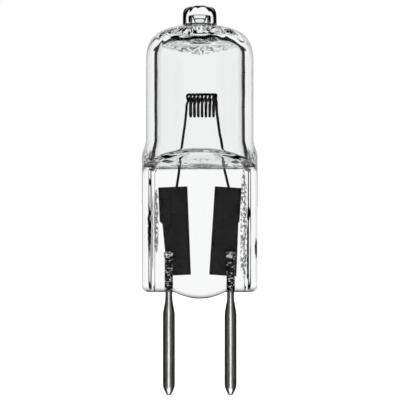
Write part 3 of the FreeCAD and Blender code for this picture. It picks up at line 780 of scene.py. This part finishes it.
bpy.ops.object.select_all(action="DESELECT")
bpy.ops.mesh.primitive_circle_add(vertices=WIRE_SIDES, radius=WIRE_RADIUS * MM)
filament = bpy.context.active_object
filament.name = "tungsten_filament"
bpy.ops.object.mode_set(mode="EDIT")
bpy.ops.transform.translate(value=(coil_place(0) * MM, COIL_RADIUS * MM, COIL_HEIGHT * MM))
for step in range(int(TURN_STEPS * COIL_TURNS)):
    shift = coil_place((step + 1) / TURN_STEPS) - coil_place(step / TURN_STEPS)
    bpy.ops.mesh.extrude_region_move(TRANSFORM_OT_translate={"value": (shift * MM, 0, 0)})
    bpy.ops.transform.rotate(value=-2 * pi / TURN_STEPS, orient_axis="X", center_override=(0, 0, COIL_HEIGHT * MM))
bpy.ops.object.mode_set(mode="OBJECT")
reach = [vertex.co.x / MM for vertex in filament.data.vertices]
print("coil from", round(min(reach), 2), "to", round(max(reach), 2), "mm")

# %% [markdown]
# The legs run from the ends of the coil down to the foils. Two curves with a bevel would look the
# same, but the wire is one piece, so the coil's end rings are extruded on along each leg's route,
# point by point, and closed with a face.

# %% Draw the two legs
LEGS = {
    "left": [(-1.4, 1.1, 20.8), (-1.46, 1.02, 20.2), (-1.57, 0.9, 19.3), (-1.7, 0.78, 18.4), (-1.85, 0.65, 17.4),
             (-1.98, 0.54, 16.5), (-2.05, 0.5, 15.8), (-2.08, 0.5, 14.9), (-2.2, 0.5, 14.0), (-2.36, 0.5, 13.0),
             (-2.52, 0.5, 11.9)],
    "right": [(1.69, -1.1, 20.8), (1.75, -0.98, 20.2), (1.89, -0.72, 19.3), (2.04, -0.44, 18.4), (2.26, -0.02, 17.4),
              (2.44, 0.36, 16.5), (2.5, 0.48, 15.8), (2.5, 0.5, 14.9), (2.72, 0.5, 14.0), (2.96, 0.5, 13.0),
              (3.24, 0.5, 11.9)],
}
total = len(filament.data.vertices)
ends = {"left": range(WIRE_SIDES), "right": range(total - WIRE_SIDES, total)}
for side, route in LEGS.items():
    bpy.ops.object.mode_set(mode="EDIT")
    bpy.ops.mesh.select_all(action="DESELECT")
    bpy.ops.object.mode_set(mode="OBJECT")
    points = [filament.data.vertices[index] for index in ends[side]]
    for point in points:
        point.select = True
    centre = sum((point.co for point in points[1:]), points[0].co.copy()) / WIRE_SIDES / MM
    bpy.ops.object.mode_set(mode="EDIT")
    for x, y, z in route:
        step = ((x - centre.x) * MM, (y - centre.y) * MM, (z - centre.z) * MM)
        bpy.ops.mesh.extrude_region_move(TRANSFORM_OT_translate={"value": step})
        centre.x, centre.y, centre.z = x, y, z
    bpy.ops.mesh.edge_face_add()
bpy.ops.mesh.select_all(action="SELECT")
bpy.ops.mesh.normals_make_consistent(inside=False)
bpy.ops.object.mode_set(mode="OBJECT")
bpy.ops.object.shade_smooth()
print("filament", len(filament.data.polygons), "faces")

# %% [markdown]
# Tungsten wire is slightly grainy. Seen against the light it looks almost black, with a dull metal
# edge, so its colour is painted nearly black: painted shade.

# %% Drawn tungsten, painted dark
def shade_dark_tungsten():
    made, tree = blank_finish("drawn_tungsten_painted_dark")
    place = add_node(tree, "ShaderNodeTexCoord")
    # grain about 0.1 mm across, coarser than real so that it shows
    grain = add_node(tree, "ShaderNodeTexNoise", {"Vector": place.outputs["Object"], "Scale": 9000.0, "Detail": 3.0})
    # painted shade: the wire's colour is nearly black
    tone = add_node(tree, "ShaderNodeMix", {0: grain.outputs[0], 6: linear("#121213"), 7: linear("#242426")},
                    data_type="RGBA")
    rough = add_node(tree, "ShaderNodeMapRange", {0: grain.outputs[0], 3: 0.3, 4: 0.5})
    skin = add_node(tree, "ShaderNodeBump", {"Height": grain.outputs[0], "Strength": 0.2, "Distance": 0.00002})
    body = add_node(tree, "ShaderNodeBsdfPrincipled", {
        "Base Color": tone.outputs[2], "Metallic": 1.0, "Roughness": rough.outputs[0],
        "Specular Tint": linear("#404040"), "Normal": skin.outputs[0],
    })
    add_node(tree, "ShaderNodeOutputMaterial", {"Surface": body.outputs[0]})
    return made


filament.data.materials.append(shade_dark_tungsten())
finish_piece(filament, "filament")

# %% [markdown]
# The foils already have their true shape in the frame, so they stay and only get their finish.
# Seen against the light the molybdenum foil looks like black paper, so its colour is painted near
# black: painted shade.

# %% Molybdenum foil, painted dark
def shade_dark_foil():
    made, tree = blank_finish("molybdenum_foil_painted_dark")
    place = add_node(tree, "ShaderNodeTexCoord")
    # etched grain about 0.3 mm across
    etch = add_node(tree, "ShaderNodeTexNoise", {"Vector": place.outputs["Object"], "Scale": 3500.0, "Detail": 4.0,
                                                 "Roughness": 0.6})
    etch = add_node(tree, "ShaderNodeMapRange", {0: etch.outputs[0], 1: 0.35, 2: 0.68})
    # painted shade: the foil's colour is near black
    tone = add_node(tree, "ShaderNodeMix", {0: etch.outputs[0], 6: linear("#040404"), 7: linear("#323232")},
                    data_type="RGBA")
    body = add_node(tree, "ShaderNodeBsdfPrincipled", {
        "Base Color": tone.outputs[2], "Roughness": 0.85, "Specular IOR Level": 0.1,
    })
    add_node(tree, "ShaderNodeOutputMaterial", {"Surface": body.outputs[0]})
    return made


foil_finish = shade_dark_foil()
for name in ("left_foil", "right_foil"):
    nodes[name].data.materials.clear()
    nodes[name].data.materials.append(foil_finish)
print("foils", foil_finish.name)

# %% [markdown]
# Each pin is drawn like the glass, ring by ring, from its round point up the shank and through the
# waist into the neck. Two rows close together hold an edge, and two far apart let it run soft.

# %% Draw the pins
PIN_ROWS = [
    (-8.44, 0.19, 0.19), (-8.37, 0.27, 0.27), (-8.2, 0.37, 0.37), (-7.95, 0.49, 0.49), (-7.7, 0.58, 0.58),
    (-7.5, 0.617, 0.617), (-7.3, 0.625, 0.625),
    (-5.5, 0.625, 0.625), (-3.5, 0.625, 0.625), (-1.5, 0.625, 0.625), (-0.14, 0.625, 0.625), (0.0, 0.612, 0.612),
    (0.14, 0.585, 0.585), (1.12, 0.41, 0.41), (1.32, 0.378, 0.378), (1.6, 0.37, 0.37), (3.0, 0.37, 0.37),
    (4.5, 0.37, 0.37), (6.1, 0.37, 0.37), (6.18, 0.34, 0.34),
]
PIN_RING, PIN_END, PIN_FLAT = 48, -8.45, 0.12


def draw_pin(name, side):
    made = start_ring(name, PIN_RING, PIN_FLAT, PIN_END)
    draw_rows((PIN_END, PIN_FLAT, PIN_FLAT), PIN_ROWS)
    bpy.ops.mesh.select_all(action="SELECT")
    bpy.ops.transform.translate(value=(side * PIN_X * MM, 0, 0))
    bpy.ops.mesh.normals_make_consistent(inside=False)
    bpy.ops.object.mode_set(mode="OBJECT")
    subdivide(made, 1)
    return made


# %% [markdown]
# The pins are drawn molybdenum. The eye sees a grey satin metal with fine scratches along the shank
# and faint clouds where the heat of the press tinted it.

# %% Drawn molybdenum
def drawn_molybdenum():
    made, tree = blank_finish("satin_drawn_molybdenum")
    place = add_node(tree, "ShaderNodeTexCoord")
    along = add_node(tree, "ShaderNodeMapping", {"Vector": place.outputs["Object"], "Scale": (1, 1, 0.08)})
    # scratches about 0.2 mm apart along the shank, and clouds about 0.7 mm across
    drawn = add_node(tree, "ShaderNodeTexNoise", {"Vector": along.outputs[0], "Scale": 6000.0, "Detail": 3.0})
    cloud = add_node(tree, "ShaderNodeTexNoise", {"Vector": place.outputs["Object"], "Scale": 1500.0, "Detail": 3.0})
    tone = add_node(tree, "ShaderNodeMix", {0: cloud.outputs[0], 6: linear("#767674"), 7: linear("#979694")},
                    data_type="RGBA")
    rough = add_node(tree, "ShaderNodeMapRange", {0: drawn.outputs[0], 3: 0.24, 4: 0.36})
    skin = add_node(tree, "ShaderNodeBump", {"Height": drawn.outputs[0], "Strength": 0.25, "Distance": 0.00002})
    body = add_node(tree, "ShaderNodeBsdfPrincipled", {
        "Base Color": tone.outputs[2], "Metallic": 1.0, "Roughness": rough.outputs[0],
        "Specular Tint": linear("#707070"), "Normal": skin.outputs[0],
    })
    add_node(tree, "ShaderNodeOutputMaterial", {"Surface": body.outputs[0]})
    return made


pin_finish = drawn_molybdenum()
for name, side in (("left", -1), ("right", 1)):
    pin = draw_pin(f"{name}_contact_pin", side)
    pin.data.materials.append(pin_finish)
    finish_piece(pin, f"{name}_pin")
    print(pin.name, len(pin.data.polygons), "faces")
